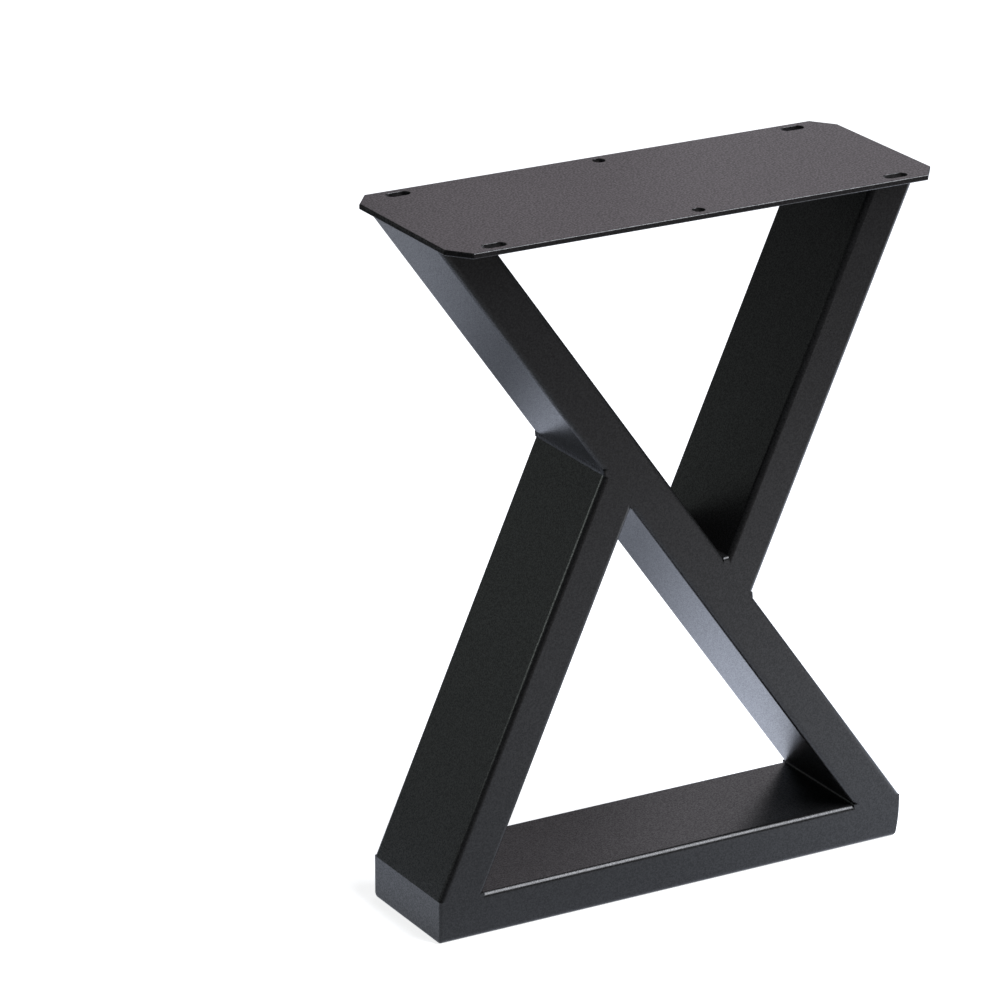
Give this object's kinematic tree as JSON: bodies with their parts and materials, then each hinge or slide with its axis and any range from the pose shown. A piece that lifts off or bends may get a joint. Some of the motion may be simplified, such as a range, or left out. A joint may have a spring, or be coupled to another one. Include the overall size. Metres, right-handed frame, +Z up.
{
  "type": "z-shaped bench leg",
  "caption": "Welded Z-shaped bench leg of rectangular steel tube: base tube, full-length diagonal and leaning struts under a drilled mounting plate, in black powder coat.",
  "frame": {"origin": "on the floor, under the middle of the base tube", "axes": "+Z up to the mounting plate, X along the plate and the base tube, Y across the tubes"},
  "size_m": [0.308, 0.1206, 0.4064],
  "materials": {
    "powder_coat": "fine-grained satin black powder coat"
  },
  "bodies": {
    "root": {"mounting_plate": "powder_coat", "diagonal_tube": "powder_coat", "upper_strut": "powder_coat", "lower_strut": "powder_coat", "base_tube": "powder_coat", "base_cap_left": "powder_coat", "base_cap_right": "powder_coat", "weld_diagonal_plate": "powder_coat", "weld_upper_strut_plate": "powder_coat", "weld_upper_strut_diagonal": "powder_coat", "weld_lower_strut_diagonal": "powder_coat", "weld_lower_strut_base": "powder_coat", "weld_diagonal_base": "powder_coat"}
  },
  "joints": []
}
